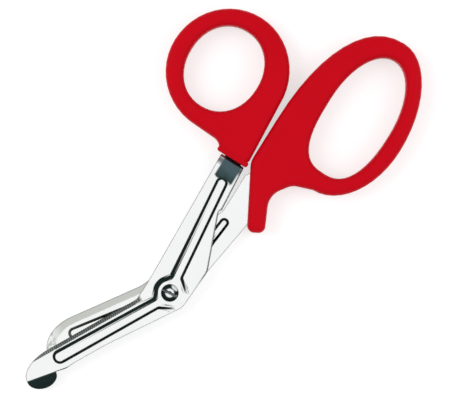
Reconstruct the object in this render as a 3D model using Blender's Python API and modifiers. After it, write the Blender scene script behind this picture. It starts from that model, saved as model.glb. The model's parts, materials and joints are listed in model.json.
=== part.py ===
"""Trauma shears, closed and lying flat on their back.

Metres, +Z up. The outlines are drawn with the pivot axis at (0, 0), +X towards the
handles and +Y towards the thumb loop, and the finished shears are then set with the
origin under the middle of their bounding box.
"""

import math

import bmesh
import bpy
from mathutils import Matrix, Vector
from mathutils.geometry import delaunay_2d_cdt

MM = 0.001

# Sheet steel and clearances
SHEET = 1.5 * MM
RUNNING_GAP = 0.2 * MM          # between the two blades
SEAT_GAP = 0.2 * MM             # between pieces that seat on each other
STEM_GAP = 0.25 * MM            # round the screw, in both blades and the washer
TANG_GAP = 0.3 * MM             # round each tang, in its handle

# Both handles
HANDLE_THICKNESS = 10.0 * MM
HANDLE_ROUND = 2.5 * MM         # radius of the moulded edges
CORNER_SPARE = 0.1 * MM         # keeps an outline's corners wider than those edges
PARTING_Y = 0.55 * MM           # middle of the gap between the closed handles
PARTING_GAP = 0.3 * MM
MOUTH_X = 54.5 * MM             # pivot to the mouth of the thumb handle

# Both jaws, measured from a line through the pivot
JAW_ANGLE = 151.5               # direction of the foot blade's jaw, degrees
JAW_CROSSING = 7.3              # the closed top jaw lies this far past it, degrees
JAW_EDGE = 4.0 * MM             # centre line to cutting edge
JAW_BACK = 5.2 * MM             # centre line to back edge
BEVEL_WIDTH = 1.2 * MM          # ground bevel, seen from above
EDGE_LAND = 0.2 * MM            # thickness left at the cutting edge
CUT_START = 12.0 * MM           # pivot to the start of the cutting edge
CUT_CORNER = 1.5 * MM           # rounds the outline at that start
BACK_ROUND = 20.0 * MM          # long bend between a jaw's back and the heel

# Both heels, beside the pivot
HEEL_DEPTH = 7.8 * MM           # pivot to the edge beside it
HEEL_REACH = 14.0 * MM          # length of that edge towards the handle
HEEL_LIFT = 0.9 * MM            # change in its depth across the pivot
HEEL_ROUND = 6.0 * MM
HEEL_END_ROUND = 5.0 * MM

# Foot blade: the lower jaw, with the thumb handle
FOOT_EDGE_END = 50.0 * MM       # pivot to where the tip starts to round
FOOT_JAW_LENGTH = 62.6 * MM
TIP_NOSE_DROP = 6.55 * MM       # from the cutting edge down to the nose of the tip
TEETH_END = 47.0 * MM
PLAIN_EDGE = 12.0 * MM          # bevel without teeth beyond them, run out by the tip's curve
TOOTH_PITCH = 0.9 * MM
TOOTH_DEPTH = 0.2 * MM
FOOT_START = 51.3 * MM          # where the fold of the safety foot starts
FOOT_BACK = 4.45 * MM           # centre line to that start
FOOT_TAPER = 3.8 * MM           # over this length the back edge draws in to it
FOOT_DEPTH = 5.8 * MM           # fold to the edge of the foot, along the sheet
FOOT_FOLD = 42.0                # degrees out of the blade's plane
FOLD_RADIUS = 1.4 * MM
FOOT_BACK_TURN = 30.5 * MM      # where the back edge turns towards the heel
FOOT_HEEL_X = -2.2 * MM
SHANK_TOP = 9.1 * MM            # outer edge of the shank at the pivot
SHANK_RISE = 2.1 * MM           # and its rise up to the handle
SHANK_TURN_X = -1.4 * MM        # where that edge turns down to the jaw
SHANK_TURN_ROUND = 8.0 * MM
SHANK_WIDTH = 9.9 * MM          # at the handle
SHANK_CORNER = 0.5 * MM
STEP_X = 36.5 * MM              # small step in the inner edge of the shank
STEP_HEIGHT = 0.7 * MM
STEP_LENGTH = 1.2 * MM
STEP_FALL = 1.4 * MM            # slope of the edge from the step to the handle
JOGGLE_OUTSIDE = 5.7 * MM       # start of the S bend to the mouth of the thumb handle
JOGGLE_LENGTH = 6.6 * MM
TANG_WIDTH = 7.0 * MM
TANG_LENGTH = 17.0 * MM
TANG_CORNER = 1.5 * MM
TANG_HOLE = 1.5 * MM            # radius of the hole that keys the tang
TANG_HOLE_INSET = 6.0 * MM      # from the end of the tang

# Top blade: the upper jaw, with the finger handle
TOP_JAW_LENGTH = 50.8 * MM
TOP_NOSE_START = 37.0 * MM      # where the back starts to round into the tip
TOP_NOSE_RISE = 0.4 * MM        # the back stands this much prouder there
TOP_TIP_ROUND = 0.8 * MM
TOP_BACK_START = 8.0 * MM       # pivot to where the back leaves the heel
TOP_BACK = 6.5 * MM             # centre line to back edge at that place
TOP_HEEL_X = 1.5 * MM
TOP_SHANK_EDGE = 5.9 * MM       # pivot to the outer edge of the shank
TOP_SHANK_TURN_X = -1.5 * MM    # where that edge turns up to the jaw
TOP_SHANK_TURN_RISE = 0.4 * MM
TOP_SHANK_TURN_ROUND = 5.0 * MM
TOP_SHANK_FALL = 8.0            # slope of that edge, degrees
TOP_SHANK_INSET = 1.0 * MM      # inner edge below the handle's parting edge
TOP_SHANK_LENGTH = 52.0 * MM    # pivot to where the shank narrows to the tang
TOP_STEP_ROUND = 2.0 * MM
TOP_TANG_END = 70.0 * MM
TOP_TANG_WIDTH = 8.6 * MM
TOP_TANG_DEPTH = 2.8 * MM       # tang below the handle's parting edge
TOP_TANG_SLANT = 3.0 * MM       # length of the narrowing
TOP_TANG_ROUND = 1.0 * MM
TOP_TANG_TURN_ROUND = 3.0 * MM

# Pressed ribs, which swell into a boss round the pivot
RIB_HEIGHT = 0.75 * MM
FLANK = 1.0 * MM                # sloping side of a rib, seen from above
JAW_FLANK = 1.2 * MM            # the same on the cutting side of a jaw
BOSS_FLANK = 2.0 * MM           # and round the boss, opposite the heel
BOSS_FLANK_REACH = 3.0 * MM     # beyond the boss, to where its flank has narrowed
FLANK_LEVELS = 5
LEVEL_GAP = 0.5 * MM            # between the contour lines of a flank
RIB_WALL = 0.5 * MM             # how much narrower the hollow behind it is, each side
BOSS_MARGIN = 2.5 * MM          # boss round the head of the screw
BOSS_BLEND = 1.15 * MM          # fillet from boss to rib
BOSS_LEAD = 0.35 * MM           # the arms' inner sides meet it this far outside its edge
BOSS_WIDE_LEAD = 1.2 * MM       # and their outer sides, where it turns the longer way round
HEAD_SEAT = 0.3 * MM            # flat left round the head, towards the heel
HEEL_SPREAD = 66.0              # the boss eases down to the heel over this half angle
HEEL_FADE = 26.0                # and this much of it is the change to a steep flank
RAMP_STEPS = 4
JAW_RIB_WIDTH = 4.45 * MM
SHANK_RIB_WIDTH = 3.6 * MM
RIB_MARGIN = 0.2 * MM           # flat left between the ground bevel and the rib
FOOT_JAW_RIB = 49.5 * MM
FOOT_SHANK_RIB = 46.9 * MM
FOOT_SHANK_RIB_ANGLE = 6.4
FOOT_SHANK_RIB_OFFSET = 0.25 * MM
TOP_JAW_RIB = 41.0 * MM
TOP_SHANK_RIB = 34.8 * MM
TOP_SHANK_RIB_ANGLE = -5.8

# Pivot hardware
HEAD_RADIUS = 3.3 * MM
HEAD_RIM = 0.5 * MM
HEAD_DOME = 1.1 * MM
DOME_POWER = 4                  # flat in the middle, steep towards the rim
DOME_STEPS = 6
STEM_RADIUS = 2.0 * MM
SLOT_WIDTH = 0.75 * MM
SLOT_DEPTH = 0.9 * MM
SLOT_ANGLE = 95.0
WASHER_RADIUS = 4.0 * MM
WASHER_THICKNESS = 0.4 * MM
WASHER_CONE = 0.15 * MM
NUT_ACROSS_FLATS = 6.5 * MM
NUT_THICKNESS = 1.4 * MM
NUT_CHAMFER = 0.25 * MM
STEM_PROUD = 0.15 * MM          # screw end below the nut

# Thumb handle
THUMB_HOLE = (81.5 * MM, 27.1 * MM)
THUMB_HOLE_X = 16.3 * MM        # half length of the hole
THUMB_HOLE_Y = 14.2 * MM        # half width of the hole
THUMB_FULLNESS = 2.1            # 2 is a true oval, more is squarer
THUMB_RIM = 7.1 * MM
THUMB_BELLY = 1.7 * MM          # lowest point of the ring above the parting edge
THUMB_RING_SHIFT = 0.5 * MM     # that point's place, towards the mouth
COLLAR_LENGTH = 2.0 * MM
COLLAR_TOP = 13.5 * MM
COLLAR_THICKNESS = 8.8 * MM
COLLAR_ROUND = 0.7 * MM
COLLAR_CORNER = 0.8 * MM
COLLAR_LIP = 0.2 * MM           # collar proud of the neck at the parting edge
NECK_DROP = 1.0 * MM            # neck below the collar's top
NECK_SHOULDER = 3.1 * MM        # mouth to the side of the neck
NECK_FLARE = 1.5 * MM           # height over the collar where the neck swells
NECK_FLARE_ROUND = 4.0 * MM

# Finger handle
FINGER_HOLE = (92.8 * MM, -25.4 * MM)
FINGER_HOLE_X = 24.8 * MM
FINGER_HOLE_Y = 12.85 * MM
FINGER_FULLNESS = (2.05, 2.9, 2.4, 2.05)
FINGER_RIM = 7.3 * MM
FINGER_SIDE_RIM = 6.5 * MM      # along the outer side of the loop
FINGER_LOOP_SHIFT = 2.8 * MM    # lowest point of the loop, towards the mouth
FINGER_LOOP_LIFT = 0.4 * MM     # its rear point over the middle of the hole
FINGER_CREST = 75.0 * MM        # where the parting edge starts to fall away
CREST_FULLNESS = 2.27
NECK_TIP = (34.3 * MM, -12.4 * MM)
NECK_TIP_WIDTH = 6.6 * MM
NECK_TOP_X = 57.5 * MM          # where the slanted mouth reaches the parting edge
NECK_TOP_ROUND = 8.0 * MM
NECK_ARCH = (50.5 * MM, -12.0 * MM)   # corner that the hollow under the neck rounds
NECK_ARCH_ROUND = 9.0 * MM
NECK_SWELL = (2.6 * MM, -17.6 * MM)   # corner before the loop, and its distance to it
NECK_SWELL_ROUND = 6.0 * MM

ARC_STEP = 9.0                  # degrees of arc in each facet
LOOP_STEP = 7.5                 # the same on the big loops of the handles
FOOT_STEPS = 12
TURN_SIDES = 40
WELD = 0.001 * MM

# Heights
MATING_Z = HANDLE_THICKNESS / 2
FOOT_Z = MATING_Z + RUNNING_GAP / 2 + SHEET / 2        # middle of the foot blade's sheet
TOP_Z = MATING_Z - RUNNING_GAP / 2 - SHEET / 2
JOGGLE_START = MOUTH_X - JOGGLE_OUTSIDE
JOGGLE_DROP = FOOT_Z - MATING_Z                        # brings the tang to mid handle
BOSS_RADIUS = HEAD_RADIUS + BOSS_MARGIN
HEEL_RAMP = 2 * (BOSS_MARGIN - HEAD_SEAT)              # flank's width towards the heel

# The parting edges of the closed handles
THUMB_LOW = PARTING_Y + PARTING_GAP / 2
FINGER_HIGH = PARTING_Y - PARTING_GAP / 2

# The jaws' ribs lie behind the ground bevel and its teeth
BEVEL_ANGLE = math.atan2(SHEET - EDGE_LAND, BEVEL_WIDTH)
TOOTH_REACH = TOOTH_DEPTH / math.sin(BEVEL_ANGLE)
JAW_RIB_SIDE = BEVEL_WIDTH + TOOTH_REACH + RIB_MARGIN + JAW_FLANK / 2
JAW_RIB_OFFSET = JAW_RIB_SIDE + JAW_RIB_WIDTH / 2 - JAW_EDGE   # towards the foot blade's back

parts = None
cutters = None


# Collections, materials and objects


def clear_scene():
    for obj in list(bpy.data.objects):
        bpy.data.objects.remove(obj, do_unlink=True)


def new_collection(name):
    collection = bpy.data.collections.new(name)
    bpy.context.scene.collection.children.link(collection)
    return collection


def material(name, colour, roughness, metallic):
    mat = bpy.data.materials.new(name)
    mat.use_nodes = True
    shader = mat.node_tree.nodes["Principled BSDF"]
    shader.inputs["Base Color"].default_value = (*colour, 1.0)
    shader.inputs["Roughness"].default_value = roughness
    shader.inputs["Metallic"].default_value = metallic
    mat.diffuse_color = (*colour, 1.0)
    return mat


def hide_as_cutter(obj):
    obj.hide_render = True
    obj.display_type = "WIRE"


def mesh_object(name, mesh, collection):
    obj = bpy.data.objects.new(name, mesh)
    collection.objects.link(obj)
    if collection == cutters:
        hide_as_cutter(obj)
    return obj


def evaluated_mesh(obj):
    depsgraph = bpy.context.evaluated_depsgraph_get()
    return bpy.data.meshes.new_from_object(obj.evaluated_get(depsgraph))


def weld(mesh):
    bm = bmesh.new()
    bm.from_mesh(mesh)
    bmesh.ops.remove_doubles(bm, verts=bm.verts, dist=WELD)
    bmesh.ops.dissolve_degenerate(bm, edges=bm.edges, dist=WELD)
    bm.to_mesh(mesh)
    bm.free()


def freeze(obj):
    """Applies the object's modifiers."""
    mesh = evaluated_mesh(obj)
    obj.modifiers.clear()
    obj.data = mesh
    weld(mesh)


def boolean(obj, operand, operation):
    modifier = obj.modifiers.new(operand.name, "BOOLEAN")
    modifier.operation = operation
    modifier.solver = "EXACT"
    modifier.object = operand
    freeze(obj)


def finish(obj, mat, parent):
    obj.data.materials.clear()
    obj.data.materials.append(mat)
    obj.data.shade_smooth()
    obj.data.set_sharp_from_angle(angle=math.radians(32))
    obj.parent = parent


# Outlines


def polar(angle, along, across=0.0):
    """A point on a line through the pivot, and a distance to the left of that line."""
    c = math.cos(math.radians(angle))
    s = math.sin(math.radians(angle))
    return (along * c - across * s, along * s + across * c)


def jaw(along, across):
    """A point of the foot blade's jaw, across towards the cutting edge."""
    return polar(JAW_ANGLE, along, -across)


def top_jaw(along, across):
    """A point of the top blade's jaw, across towards its back."""
    return polar(JAW_ANGLE - JAW_CROSSING, along, -across)


def quarter(start, end, flat_start, power=2.0, step=ARC_STEP):
    """A quarter of an oval, whose tangent at the start is along X if flat_start."""
    steps = round(90 / step)
    points = []
    for i in range(steps + 1):
        t = math.radians(90 * i / steps)
        rise = 1 - math.cos(t) ** (2 / power)
        run = math.sin(t) ** (2 / power)
        kx, ky = (run, rise) if flat_start else (rise, run)
        x = start[0] + (end[0] - start[0]) * kx
        y = start[1] + (end[1] - start[1]) * ky
        points.append((x, y))
    return points


def oval(centre, half_x, half_y, powers, step=ARC_STEP):
    """A closed oval. Each quarter, from +X round to -Y, has its own fullness."""
    cx, cy = centre
    right, top = (cx + half_x, cy), (cx, cy + half_y)
    left, bottom = (cx - half_x, cy), (cx, cy - half_y)
    points = []
    for start, end, flat, power in (
        (right, top, False, powers[0]),
        (top, left, True, powers[1]),
        (left, bottom, False, powers[2]),
        (bottom, right, True, powers[3]),
    ):
        points += quarter(start, end, flat, power, step)[:-1]
    return points


def circle(centre, radius):
    return oval(centre, radius, radius, (2.0, 2.0, 2.0, 2.0))


def rounded(corners):
    """A closed outline through corners (point, radius), each rounded by its radius."""
    outline = []
    count = len(corners)
    for i, (point, radius) in enumerate(corners):
        here = Vector(point)
        back = Vector(corners[i - 1][0]) - here
        ahead = Vector(corners[(i + 1) % count][0]) - here
        turn = math.pi - back.angle(ahead)
        if radius == 0 or turn < math.radians(1):
            outline.append(tuple(here))
            continue
        reach = radius * math.tan(turn / 2)
        reach = min(reach, back.length * 0.49, ahead.length * 0.49)
        radius = reach / math.tan(turn / 2)
        middle = (back.normalized() + ahead.normalized()).normalized()
        centre = here + middle * math.hypot(reach, radius)
        first = here + back.normalized() * reach - centre
        side = 1 if first.cross(-back) > 0 else -1
        steps = max(1, round(math.degrees(turn) / ARC_STEP))
        for k in range(steps + 1):
            spoke = first.copy()
            spoke.rotate(Matrix.Rotation(side * turn * k / steps, 2))
            outline.append(tuple(centre + spoke))
    return outline


def sharp(points):
    return [(point, 0) for point in points]


# Solids


def plate(name, loops, thickness, middle_z, collection, edge=0.0, edge_steps=0, grow=0.0):
    """A flat solid with an outer loop and holes, its edges rounded or chamfered."""
    curve = bpy.data.curves.new(name, "CURVE")
    curve.dimensions = "2D"
    curve.fill_mode = "BOTH"
    curve.extrude = thickness / 2 - edge
    curve.bevel_depth = edge
    curve.bevel_resolution = edge_steps
    curve.offset = grow - edge
    for loop in loops:
        spline = curve.splines.new("POLY")
        spline.points.add(len(loop) - 1)
        for point, (x, y) in zip(spline.points, loop):
            point.co = (x, y, 0, 1)
        spline.use_cyclic_u = True
    source = mesh_object(name + "_outline", curve, cutters)
    mesh = evaluated_mesh(source)
    bpy.data.objects.remove(source)
    weld(mesh)
    mesh.transform(Matrix.Translation((0, 0, middle_z)))
    return mesh_object(name, mesh, collection)


def turned(name, profile, collection, ring=False):
    """A solid of revolution round the pivot axis, from a profile that runs down outside."""
    bm = bmesh.new()
    verts = [bm.verts.new((r, 0, z)) for r, z in profile]
    for a, b in zip(verts, verts[1:]):
        bm.edges.new((a, b))
    if ring:
        bm.edges.new((verts[-1], verts[0]))
    mesh = bpy.data.meshes.new(name)
    bm.to_mesh(mesh)
    bm.free()
    obj = mesh_object(name, mesh, collection)
    screw = obj.modifiers.new("turn", "SCREW")
    screw.steps = TURN_SIDES
    screw.render_steps = TURN_SIDES
    screw.use_merge_vertices = True
    screw.merge_threshold = 0.00001
    freeze(obj)
    return obj


def drill(name, centre, radius):
    """A round cutter through the whole thickness."""
    return plate(name, [circle(centre, radius)], HANDLE_THICKNESS * 2, MATING_Z, cutters)


def sheet(name, loops, creases, top_height, low_height, middle_z):
    """A sheet cut to an outer loop and holes, its two faces raised by height functions.

    The creases are open or closed lines across the sheet that its facets follow.
    """
    points = []
    edges = []
    faces = []
    for line in loops + creases:
        ring = list(range(len(points), len(points) + len(line)))
        points += [Vector(point) for point in line]
        if line in loops:
            faces.append(ring)
        else:
            edges += list(zip(ring, ring[1:]))
    flat, _, triangles, _, _, owners = delaunay_2d_cdt(points, edges, faces, 0, WELD / 10)
    bm = bmesh.new()
    verts = [bm.verts.new((x, y, 0)) for x, y in flat]
    for corners, inside in zip(triangles, owners):
        if inside == [0]:
            bm.faces.new([verts[i] for i in corners])
    bmesh.ops.delete(bm, geom=[vert for vert in bm.verts if not vert.link_faces], context="VERTS")
    low = bm.verts[:]
    raised = bmesh.ops.extrude_face_region(bm, geom=bm.faces[:], use_keep_orig=True)
    for vert in low:
        vert.co.z = middle_z - SHEET / 2 + low_height(vert.co.xy)
    for vert in raised["geom"]:
        if isinstance(vert, bmesh.types.BMVert):
            vert.co.z = middle_z + SHEET / 2 + top_height(vert.co.xy)
    bmesh.ops.recalc_face_normals(bm, faces=bm.faces)
    mesh = bpy.data.meshes.new(name)
    bm.to_mesh(mesh)
    bm.free()
    return mesh_object(name, mesh, parts)


# Pressing, grinding and bending the blades


def smooth(t):
    t = min(max(t, 0), 1)
    return t * t * (3 - 2 * t)


def depth_inside(point, outline):
    """Distance from a point to a closed outline, negative where it lies outside."""
    nearest = math.inf
    inside = False
    for a, b in zip(outline, outline[1:] + outline[:1]):
        start = Vector(a)
        run = Vector(b) - start
        share = min(max((point - start).dot(run) / run.length_squared, 0), 1)
        nearest = min(nearest, (point - start - run * share).length)
        if (a[1] > point.y) != (b[1] > point.y):
            inside ^= point.x < a[0] + run.x * (point.y - a[1]) / run.y
    return nearest if inside else -nearest


def boss_corner(start, end, radius):
    """The corner whose rounding by the radius wraps the boss from start to end."""
    first = Vector(start)
    last = Vector(end)
    a = math.atan2(first.y, first.x) + math.acos(radius / first.length)
    b = math.atan2(last.y, last.x) - math.acos(radius / last.length)
    b += 2 * math.pi if b < a else 0
    reach = radius / math.cos((b - a) / 2)
    middle = (a + b) / 2
    return ((reach * math.cos(middle), reach * math.sin(middle)), radius)


def beside(radius, across):
    """How far along an arm its side, across from the middle, reaches the radius."""
    return math.sqrt(radius ** 2 - across ** 2)


def rib_outline(shank, jaw_arm, inset):
    """Two arms (angle, offset, half width, length) that swell into a boss at the pivot."""
    boss = BOSS_RADIUS - inset
    blend = BOSS_BLEND + inset
    near = boss + BOSS_LEAD
    far = boss + BOSS_WIDE_LEAD
    sides = []
    for (angle, offset, half, length), low_meet, high_meet in ((shank, far, near), (jaw_arm, near, far)):
        half -= inset
        end = length - inset
        low = offset - half
        high = offset + half
        right = [(polar(angle, beside(low_meet, low), low), blend), (polar(angle, end, low), half)]
        left = [(polar(angle, end, high), half), (polar(angle, beside(high_meet, high), high), blend)]
        sides.append(right + left)
    upper = boss_corner(sides[0][-1][0], sides[1][0][0], boss)
    lower = boss_corner(sides[1][-1][0], sides[0][0][0], boss)
    return rounded(sides[0] + [upper] + sides[1] + [lower])


def turn_from(angle, heel):
    """Signed angle from the direction opposite the heel."""
    return (angle - heel) % 360 - 180


def flank_width(point, side, heel, jaw_angle):
    """Width of the rib's flank: broad beside the cutting edge, broader round the boss.

    Towards the heel the boss has no steep flank and eases down to the edge.
    """
    turn = turn_from(math.degrees(math.atan2(point.y, point.x)), heel)
    ease = smooth((abs(turn) - 180 + HEEL_SPREAD) / HEEL_FADE)
    cutting_side = smooth(0.5 + (abs(turn_from(jaw_angle, heel)) - abs(turn)) / 2)
    jaw_share = smooth(0.5 + side * turn / HEEL_SPREAD)
    boss_share = smooth((BOSS_RADIUS + BOSS_FLANK_REACH - point.length) / BOSS_FLANK_REACH)
    broad = max((JAW_FLANK - FLANK) * jaw_share, (BOSS_FLANK - FLANK) * boss_share)
    return FLANK + (HEEL_RAMP - FLANK) * ease + broad * cutting_side


def pressed_blade(name, loops, middle_z, side, shank, jaw_arm, heel):
    """A blade of sheet with a rib pressed out to one side and a hollow behind it.

    The heel edge lies in the direction heel from the pivot.
    """
    outline = rib_outline(shank, jaw_arm, 0)

    def pressing(point, inset):
        flank = flank_width(point, side, heel, jaw_arm[0])
        rise = 0.5 + (depth_inside(point, outline) - inset) / flank
        return side * RIB_HEIGHT * min(max(rise, 0), 1)

    insets = set()
    for k in range(FLANK_LEVELS):
        level = LEVEL_GAP * (k - (FLANK_LEVELS - 1) / 2)
        insets |= {round(level, 6), round(level + RIB_WALL, 6)}
    creases = []
    for inset in sorted(insets):
        line = rib_outline(shank, jaw_arm, inset)
        creases.append(line + line[:1])
    fan_steps = round(2 * HEEL_SPREAD / ARC_STEP)
    for k in range(RAMP_STEPS + 1):
        radius = BOSS_RADIUS + HEEL_RAMP * (k / RAMP_STEPS - 0.5)
        first = heel - HEEL_SPREAD
        creases.append([polar(first + i * ARC_STEP, radius) for i in range(fan_steps + 1)])

    top_inset, low_inset = (0, RIB_WALL) if side > 0 else (RIB_WALL, 0)
    return sheet(
        name,
        loops,
        creases,
        lambda point: pressing(point, top_inset),
        lambda point: pressing(point, low_inset),
        middle_z,
    )


def grind(blade, start, end, outward, middle_z, side, pitch=0.0, plain=0.0):
    """Cuts the bevel from the edge up to the outer face, with teeth along it if pitch."""
    start = Vector(start)
    end = Vector(end)
    length = (end - start).length
    run_out = BEVEL_WIDTH
    comb = [(-run_out, run_out)]
    if pitch:
        for i in range(round(length / pitch)):
            comb.append((i * pitch, 0))
            comb.append(((i + 0.5) * pitch, -TOOTH_DEPTH))
    else:
        comb.append((0, 0))
    comb += [(length, 0), (length + plain, 0), (length + plain + run_out, run_out)]
    cutter = plate(blade.name + "_bevel", [comb], 6 * BEVEL_WIDTH, 0, cutters)
    along = Vector((*(end - start).normalized(), 0))
    out = Vector((*outward, 0)).normalized()
    rise = SHEET - EDGE_LAND
    facing = (out * rise + Vector((0, 0, side)) * BEVEL_WIDTH).normalized()
    across = along.cross(facing)
    frame = Matrix((along, facing, across)).transposed().to_4x4()
    edge_z = middle_z + side * (EDGE_LAND - SHEET / 2)
    frame.translation = (start.x, start.y, edge_z)
    cutter.matrix_world = frame
    boolean(blade, cutter, "DIFFERENCE")


def slice_mesh(bm, point, normal):
    geometry = bm.verts[:] + bm.edges[:] + bm.faces[:]
    bmesh.ops.bisect_plane(bm, geom=geometry, dist=1e-7, plane_co=point, plane_no=normal)


def joggle(blade):
    """Offsets the shank in a smooth S bend, down to the middle of the handle."""
    bm = bmesh.new()
    bm.from_mesh(blade.data)
    cuts = 8
    for i in range(cuts + 1):
        slice_mesh(bm, (JOGGLE_START + JOGGLE_LENGTH * i / cuts, 0, 0), (1, 0, 0))
    for vert in bm.verts:
        vert.co.z -= JOGGLE_DROP * smooth((vert.co.x - JOGGLE_START) / JOGGLE_LENGTH)
    bm.to_mesh(blade.data)
    bm.free()


def fold_foot(blade, start, end):
    """Folds what lies beyond the line from start to end away from the outer face."""
    origin = Vector((*start, FOOT_Z))
    along = Vector((*end, FOOT_Z)) - origin
    along.normalize()
    out = Vector((0, 0, 1)).cross(along)
    angle = math.radians(FOOT_FOLD)
    arc = FOLD_RADIUS * angle
    bm = bmesh.new()
    bm.from_mesh(blade.data)
    cuts = 6
    origin -= out * arc / 2
    for i in range(cuts + 1):
        slice_mesh(bm, origin + out * (arc * i / cuts), out)
    for vert in bm.verts:
        distance = (vert.co - origin).dot(out)
        if distance <= 0:
            continue
        height = vert.co.z - FOOT_Z
        bend = min(distance / arc, 1) * angle
        straight = max(distance - arc, 0)
        radius = FOLD_RADIUS + height
        reach = radius * math.sin(bend) + straight * math.cos(bend)
        drop = FOLD_RADIUS - radius * math.cos(bend) + straight * math.sin(bend)
        vert.co += out * (reach - distance)
        vert.co.z = FOOT_Z - drop
    bm.to_mesh(blade.data)
    bm.free()


# Foot blade


def thumb_tang_middle():
    return SHANK_TOP + SHANK_RISE - SHANK_WIDTH / 2


def thumb_tang(start_x):
    """Corners of the foot blade's tang, from its low side at start_x round its end."""
    end_x = MOUTH_X + TANG_LENGTH
    low = thumb_tang_middle() - TANG_WIDTH / 2
    high = low + TANG_WIDTH
    corners = [((start_x, low), 0), ((end_x, low), TANG_CORNER)]
    return corners + [((end_x, high), TANG_CORNER), ((start_x, high), 0)]


def thumb_tang_hole():
    return circle((MOUTH_X + TANG_LENGTH - TANG_HOLE_INSET, thumb_tang_middle()), TANG_HOLE)


def foot_fold_line():
    start = jaw(FOOT_START, -FOOT_BACK)
    end = jaw(FOOT_JAW_LENGTH, JAW_EDGE - TIP_NOSE_DROP)
    return start, end


def foot_lobe():
    """The flat pattern of the safety foot: half an oval on the fold line."""
    fold_start, fold_end = (Vector(point) for point in foot_fold_line())
    half = (fold_end - fold_start) / 2
    away = Vector((-half.y, half.x)).normalized() * FOOT_DEPTH
    points = []
    for i in range(1, FOOT_STEPS):
        t = math.radians(180 * i / FOOT_STEPS)
        points.append(tuple(fold_start + half * (1 + math.cos(t)) + away * math.sin(t)))
    return points


def foot_outline():
    shoulder = MOUTH_X - TANG_GAP
    outer = SHANK_TOP + SHANK_RISE
    inner = outer - SHANK_WIDTH
    corners = thumb_tang(shoulder)
    corners += [((shoulder, outer), SHANK_CORNER), ((SHANK_TURN_X, SHANK_TOP), SHANK_TURN_ROUND)]
    corners += [(jaw(CUT_START, JAW_EDGE), CUT_CORNER)]
    nose = (FOOT_JAW_LENGTH, JAW_EDGE - TIP_NOSE_DROP)
    tip = quarter((FOOT_EDGE_END, JAW_EDGE), nose, True)
    corners += sharp([jaw(*point) for point in tip])
    corners += sharp(foot_lobe())
    corners += [(jaw(FOOT_START, -FOOT_BACK), 0), (jaw(FOOT_START - FOOT_TAPER, -JAW_BACK), FOOT_TAPER)]
    corners += [(jaw(FOOT_BACK_TURN, -JAW_BACK), BACK_ROUND)]
    corners += [((FOOT_HEEL_X, HEEL_LIFT - HEEL_DEPTH), HEEL_ROUND)]
    corners += [((HEEL_REACH, -HEEL_DEPTH), HEEL_END_ROUND)]
    corners += [((STEP_X - STEP_LENGTH, inner + STEP_HEIGHT - STEP_FALL), SHANK_CORNER)]
    corners += [((STEP_X, inner - STEP_FALL), SHANK_CORNER), ((shoulder, inner), SHANK_CORNER)]
    return rounded(corners)


def make_foot_blade(mat, parent):
    shank_rib = (FOOT_SHANK_RIB_ANGLE, FOOT_SHANK_RIB_OFFSET, SHANK_RIB_WIDTH / 2, FOOT_SHANK_RIB)
    jaw_rib = (JAW_ANGLE, JAW_RIB_OFFSET, JAW_RIB_WIDTH / 2, FOOT_JAW_RIB)
    heel = (FOOT_SHANK_RIB_ANGLE + JAW_ANGLE) / 2 - 180
    loops = [foot_outline(), thumb_tang_hole()]
    blade = pressed_blade("foot_blade", loops, FOOT_Z, 1, shank_rib, jaw_rib, heel)
    boolean(blade, drill("foot_blade_bore", (0, 0), STEM_RADIUS + STEM_GAP), "DIFFERENCE")
    start = jaw(CUT_START + BEVEL_WIDTH, JAW_EDGE)
    grind(blade, start, jaw(TEETH_END, JAW_EDGE), jaw(0, 1), FOOT_Z, 1, TOOTH_PITCH, PLAIN_EDGE)
    joggle(blade)
    fold_foot(blade, *foot_fold_line())
    finish(blade, mat, parent)


# Top blade


def top_shank_y(x):
    """Height of the outer edge of the top blade's shank."""
    return -TOP_SHANK_EDGE - x * math.tan(math.radians(TOP_SHANK_FALL))


def finger_tang(start_x):
    """Corners of the top blade's tang and of the shank from start_x, from its outer side."""
    inner = FINGER_HIGH - TOP_SHANK_INSET
    high = FINGER_HIGH - TOP_TANG_DEPTH
    low = high - TOP_TANG_WIDTH
    turn_x = (-low - TOP_SHANK_EDGE) / math.tan(math.radians(TOP_SHANK_FALL))
    corners = [((start_x, top_shank_y(start_x)), 0), ((turn_x, low), TOP_TANG_TURN_ROUND)]
    corners += [((TOP_TANG_END, low), TANG_CORNER), ((TOP_TANG_END, high), TANG_CORNER)]
    corners += [((TOP_SHANK_LENGTH + TOP_TANG_SLANT, high), TOP_TANG_ROUND)]
    return corners + [((TOP_SHANK_LENGTH, inner), TOP_TANG_ROUND), ((start_x, inner), 0)]


def finger_tang_hole():
    middle = FINGER_HIGH - TOP_TANG_DEPTH - TOP_TANG_WIDTH / 2
    return circle((TOP_TANG_END - TANG_HOLE_INSET, middle), TANG_HOLE)


def top_outline():
    inner = FINGER_HIGH - TOP_SHANK_INSET
    turn = (TOP_SHANK_TURN_X, TOP_SHANK_TURN_RISE - TOP_SHANK_EDGE)
    corners = finger_tang(0)[1:-1]
    corners += [((STEP_X, inner), TOP_STEP_ROUND), ((HEEL_REACH, HEEL_DEPTH), HEEL_END_ROUND)]
    corners += [((TOP_HEEL_X, HEEL_DEPTH + HEEL_LIFT), HEEL_ROUND)]
    corners += [(top_jaw(TOP_BACK_START, TOP_BACK), BACK_ROUND)]
    nose = quarter((TOP_NOSE_START, JAW_BACK + TOP_NOSE_RISE), (TOP_JAW_LENGTH, -JAW_EDGE), True)
    corners += sharp([top_jaw(*point) for point in nose[:-1]])
    corners += [(top_jaw(TOP_JAW_LENGTH, -JAW_EDGE), TOP_TIP_ROUND)]
    corners += [(top_jaw(CUT_START, -JAW_EDGE), CUT_CORNER), (turn, TOP_SHANK_TURN_ROUND)]
    return rounded(corners)


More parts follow.
